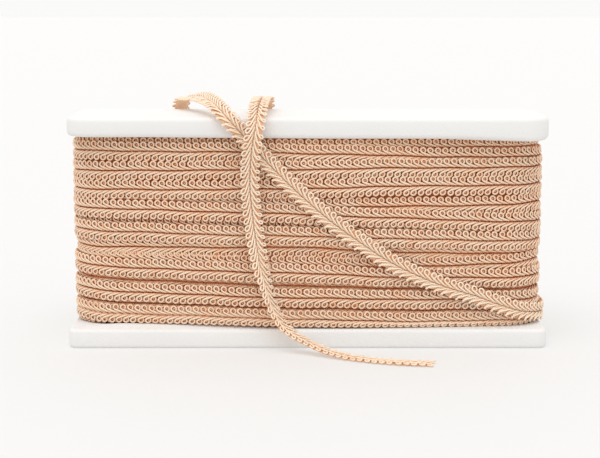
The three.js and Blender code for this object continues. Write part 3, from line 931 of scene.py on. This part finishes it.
looseRun = [
    # round the right end of the winding
    {"place": (110.0, 24.7, 17.2), "faces": (0.38, 0.92, 0)},
    {"place": (118.9, 18.8, 17.2), "faces": (0.71, 0.71, 0)},
    {"place": (125.6, 7.4, 17.1), "faces": (0.96, 0.28, 0)},
    {"place": (125.9, -6.3, 17.3), "faces": (0.97, -0.24, 0)},
    {"place": (120.4, -17.2, 18.4), "faces": (0.77, -0.64, 0)},
    {"place": (110.3, -24.9, 20.6), "faces": (0.36, -0.93, 0)},
    {"place": (100.4, -27.6, 23.4), "faces": (0.14, -0.99, 0)},
    # up the front on the slant
    {"place": (90.0, -28.9, 26.5), "faces": (0.1, -1, 0)},
    {"place": (69.6, -31.0, 33.1), "faces": (0.08, -1, 0)},
    {"place": (44.7, -32.6, 44.5), "faces": (0.05, -1, 0)},
    {"place": (31.5, -33.3, 53.0), "faces": (0.03, -1, 0)},
    {"place": (12.0, -33.6, 67.1), "faces": (0, -1, 0)},
    {"place": (-6.2, -33.6, 83.0), "faces": (0, -1, 0)},
    {"place": (-22.8, -35.0, 99.8), "faces": (0, -1, 0)},
    # over the top flange in a slack arch
    {"place": (-33.2, -37.2, 112.0), "faces": (0.02, -0.98, 0.1)},
    {"place": (-40.8, -38.0, 120.8), "faces": (-0.04, -0.87, 0.45)},
    {"place": (-46.2, -31.4, 126.0), "faces": (-0.12, -0.55, 0.8)},
    {"place": (-51.0, -18.0, 128.4), "faces": (-0.3, -0.3, 0.9)},
    {"place": (-57.2, 2.0, 129.0), "faces": (-0.45, -0.1, 0.88)},
    {"place": (-63.6, 18.0, 127.6), "faces": (-0.4, 0.16, 0.9)},
    {"place": (-68.4, 31.0, 125.9), "faces": (-0.3, 0.6, 0.74)},
    {"place": (-70.3, 38.4, 119.0), "faces": (-0.25, 0.96, 0.1)},
    # down behind in a hanging loop and up again
    {"place": (-70.0, 39.8, 107.0), "faces": (-0.35, 0.93, 0)},
    {"place": (-66.8, 40.6, 94.0), "faces": (-0.72, 0.65, -0.2)},
    {"place": (-59.5, 41.0, 83.0), "faces": (-0.62, 0.25, -0.74)},
    {"place": (-46.8, 41.2, 78.0), "faces": (0, 0.02, -1)},
    {"place": (-34.0, 41.0, 83.0), "faces": (0.62, 0.25, -0.74)},
    {"place": (-26.6, 40.6, 94.0), "faces": (0.72, 0.65, -0.2)},
    {"place": (-23.6, 39.6, 107.0), "faces": (0.3, 0.95, 0)},
    {"place": (-22.9, 38.0, 118.0), "faces": (0.08, 0.99, 0.1)},
    # over the top flange again
    {"place": (-23.0, 31.5, 125.2), "faces": (0.04, 0.72, 0.69)},
    {"place": (-23.3, 17.0, 127.4), "faces": (0, 0.3, 0.95)},
    {"place": (-24.0, 0.0, 128.4), "faces": (0, 0, 1)},
    {"place": (-24.8, -17.0, 127.6), "faces": (0, -0.2, 0.98)},
    {"place": (-25.4, -30.6, 125.4), "faces": (0, -0.5, 0.87)},
    {"place": (-25.9, -37.0, 121.6), "faces": (0, -0.86, 0.5)},
    # down the front, over the slanted run
    {"place": (-26.5, -40.6, 116.6), "faces": (0, -0.99, 0.12)},
    {"place": (-27.8, -41.0, 109.4), "faces": (0, -1, 0)},
    {"place": (-28.9, -39.8, 101.8), "faces": (0, -1, -0.1)},
    {"place": (-29.5, -37.6, 93.0), "faces": (0, -1, -0.1)},
    {"place": (-29.5, -36.0, 83.0), "faces": (0, -1, -0.06)},
    {"place": (-28.6, -34.9, 72.5), "faces": (0, -1, 0)},
    {"place": (-27.4, -35.0, 62.5), "faces": (0.1, -0.99, 0)},
    # turned edge on as it leaves the winding
    {"place": (-25.9, -35.7, 52.5), "faces": (0.34, -0.94, 0)},
    {"place": (-23.8, -36.9, 42.0), "faces": (0.64, -0.77, 0)},
    {"place": (-20.8, -37.8, 31.5), "faces": (0.81, -0.58, 0.04)},
    {"place": (-17.6, -38.2, 22.0), "faces": (0.85, -0.49, 0.2)},
    {"place": (-13.2, -39.4, 14.2), "faces": (0.77, -0.45, 0.46)},
    {"place": (-7.2, -41.8, 9.6), "faces": (0.6, -0.36, 0.71)},
    # turned flat on the surface
    {"place": (0.6, -45.8, 6.0), "faces": (0.38, -0.2, 0.9)},
    {"place": (9.0, -50.7, 3.2), "faces": (0.18, -0.08, 0.98)},
    {"place": (18.0, -55.8, 1.6), "faces": (0.06, -0.02, 1)},
    {"place": (30.0, -62.0, 1.0), "faces": (0, 0, 1)},
    {"place": (42.0, -66.8, 1.0), "faces": (0, 0, 1)},
    {"place": (53.0, -69.4, 1.0), "faces": (0, 0, 1)},
    {"place": (63.5, -70.6, 1.0), "faces": (0, 0, 1)},
]
loose = {
    "stepsBetween": 24,
    "cutMargin": 0.4,
    "floorGap": 0.15,
    "slantFrom": 430.0,           # travel from the cut end to where the run lies tight again
    "slantEase": 60.0,
    "settle": [0.0, 1.2, 2.0],    # it sits this much lower at the right end, from settleFrom out
    "settleFrom": [88.0, 100.0, 112.0],
    "frontAt": -4.0,              # the run counts as in front of the board from here forward
    "frontEase": 20.0,
    "overlap": [4.0, 8.0],        # travel along the winding that the run follows
    "leanRings": 0.4,             # of one edge's loops, and how much less on the slant
    "leanLess": 0.3,
    "ringSlack": 0.06,
    "leafSlack": 0.26,            # of the other edge's loops, and how much more on the slant
    "leafMore": 0.28,
    "seed": 77,
}


def centripetalLine(points, steps):
    # The same curve as the frame's run: centripetal Catmull-Rom
    padded = np.concatenate([2 * points[:1] - points[1:2], points, 2 * points[-1:] - points[-2:-1]])
    line = []
    for i in range(len(points) - 1):
        a, b, c, d = padded[i:i + 4]
        ab, bc, cd = (math.sqrt(np.linalg.norm(q - p)) for p, q in ((a, b), (b, c), (c, d)))
        startSlope = ((b - a) / ab - (c - a) / (ab + bc) + (c - b) / bc) * bc
        endSlope = ((c - b) / bc - (d - b) / (bc + cd) + (d - c) / cd) * bc
        t = np.linspace(0, 1, steps, endpoint=False)[:, None]
        line.append(b + startSlope * t + (3 * c - 3 * b - 2 * startSlope - endSlope) * t ** 2
                    + (2 * b - 2 * c + startSlope + endSlope) * t ** 3)
    return np.concatenate(line + [points[-1:]])


def looseStations():
    # Dense stations from the cut end towards the winding, and two more that overlap the winding's first loops
    run = list(reversed(looseRun))
    places = np.array([point["place"] for point in run], float)
    facings = np.array([point["faces"] for point in run], float)
    onward, onwardFacing = windingAt(windStart + np.array(loose["overlap"]), np.zeros(2), np.zeros(2))
    places = np.concatenate([places, onward])
    facings = np.concatenate([facings, onwardFacing])
    facings /= np.linalg.norm(facings, axis=1, keepdims=True)
    line = centripetalLine(places, loose["stepsBetween"])
    share = np.arange(len(line)) / loose["stepsBetween"]
    facing = np.stack([np.interp(share, np.arange(len(facings)), facings[:, k]) for k in range(3)], 1)
    window = np.hanning(loose["stepsBetween"] + 1)
    window /= window.sum()
    pad = loose["stepsBetween"] // 2
    facing = np.pad(facing, ((pad, pad), (0, 0)), mode="edge")
    facing = np.stack([np.convolve(facing[:, k], window, "valid") for k in range(3)], 1)
    along = np.gradient(line, axis=0)
    along /= np.linalg.norm(along, axis=1, keepdims=True)
    across = np.cross(facing, along)
    across /= np.linalg.norm(across, axis=1, keepdims=True)
    outward = np.cross(along, across)
    travelled = np.concatenate([[0], np.cumsum(np.linalg.norm(np.diff(line, axis=0), axis=1))])
    runEnd = travelled[(len(looseRun) - 1) * loose["stepsBetween"]]
    return travelled, line, across, outward, runEnd


looseTravel, looseLine, looseAcross, looseOutward, looseLength = looseStations()


def onStations(values, travel):
    return np.stack([np.interp(travel, looseTravel, values[:, k]) for k in range(3)], -1)


def looseAt(travel, across, height, clear=trim["yarnRadius"]):
    outward = onStations(looseOutward, travel)
    centre = onStations(looseLine, travel)
    inFront = 1 - smoothStep((centre[..., 1] - loose["frontAt"]) / loose["frontEase"])
    centre[..., 2] -= np.interp(centre[..., 0], loose["settleFrom"], loose["settle"]) * inFront
    places = centre + across[..., None] * onStations(looseAcross, travel) + height[..., None] * outward
    places[..., 2] = np.maximum(places[..., 2], clear + loose["floorGap"])
    return places, outward


def onSlant(travel):
    return smoothStep((travel - loose["slantFrom"]) / loose["slantEase"])


def looseLean(travel, side):
    if side < 0:
        return 0.0 * travel
    return loose["leanRings"] - loose["leanLess"] * onSlant(travel)


def looseSlack(travel, side):
    # The loops of one edge hang as leaves, and of the other stay rounder
    if side < 0:
        return loose["leafSlack"] + loose["leafMore"] * onSlant(travel)
    return loose["ringSlack"] * (1 - onSlant(travel))


def noShade(travel):
    return 0.0 * travel


looseLook = {"steps": 24, "sides": 6, "yarnRadius": 0.47, "lean": looseLean, "slack": looseSlack, "curl": 0.4,
             "jitter": 2.0, "shade": noShade, "closer": 0.2, "pads": False}

# The threads that carry the loops of the loose run, as one thin closed band behind them
backing = {
    "spacing": 1.2,
    "halfWidth": 3.7,
    "groove": 1.7,
    "front": -0.45,
    "back": -1.0,
    "round": 0.35,
    "wave": 0.18,
    "cutMargin": 1.1,
    "grooveFloor": 0.1,           # above the back, along the middle
    "keel": 0.2,                  # below the back, along the middle
    # the band's colour: half way to the deep colour, with the darker crossed colour on its front and this
    # share of it on its back, all painted shade
    "toneAndPaintedShade": 0.5,
    "backShade": 0.45,
    "onSurface": 0.45,            # how much of its height is kept at least where it is pressed flat
}


def addBacking(values):
    stations = int((looseLength - values["cutMargin"]) / values["spacing"])
    travel = np.linspace(values["cutMargin"], looseLength, stations)
    half = values["halfWidth"]
    inner = half - values["round"]
    front, back = values["front"], values["back"]
    middle = (front + back) / 2
    groove = values["groove"]
    section = np.array([
        (-half, middle), (-inner, front), (-groove, middle), (0, back + values["grooveFloor"]),
        (groove, middle), (inner, front), (half, middle),
        (inner, back), (0, back - values["keel"]), (-inner, back),
    ])
    wave = values["wave"] * np.sin(travel * 2 * math.pi / trim["pitch"])
    across = section[None, :, 0] + wave[:, None] * np.sign(section[None, :, 0])
    height = np.broadcast_to(section[None, :, 1], across.shape)
    # Where the band lies on the surface, its front stays above its back
    clear = values["onSurface"] * (height - height.min())
    points, _ = looseAt(np.broadcast_to(travel[:, None], across.shape), across, height, clear)
    count = len(section)
    index = np.arange(stations * count).reshape(stations, count)
    here, after = index[:-1], index[1:]
    quads = np.stack([here, after, np.roll(after, -1, 1), np.roll(here, -1, 1)], -1).reshape(-1, 4)
    # Painted shade: the band's front, behind the loops, takes the darker colour of crossed threads in full,
    # and its back in part
    behind = np.where(section[:, 1] > back, 1.0, values["backShade"])
    part = {
        "points": points.reshape(-1, 3),
        "corners": np.concatenate([quads.ravel(), index[0], index[-1, ::-1]]),
        "sizes": np.concatenate([np.full(len(quads), 4), [count, count]]),
        "uv": np.zeros((4 * len(quads) + 2 * count, 2)),
        "toneAndPaintedShade": np.full(stations * count, values["toneAndPaintedShade"]),
        "paintedShadeBehindRing": np.tile(behind, stations),
    }
    return addTrim("loose_backing", [part], looseYarn)


def addLooseRun(values, look):
    parts = trimParts(values["cutMargin"], looseLength, look, np.random.default_rng(values["seed"]), looseAt)
    loops = addTrim("loose_trim", parts, looseYarn)
    band = addBacking(backing)
    for piece in (loops, band):
        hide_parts("loose_run")


addLooseRun(loose, looseLook)
print("loose run", round(looseLength, 1), "mm")
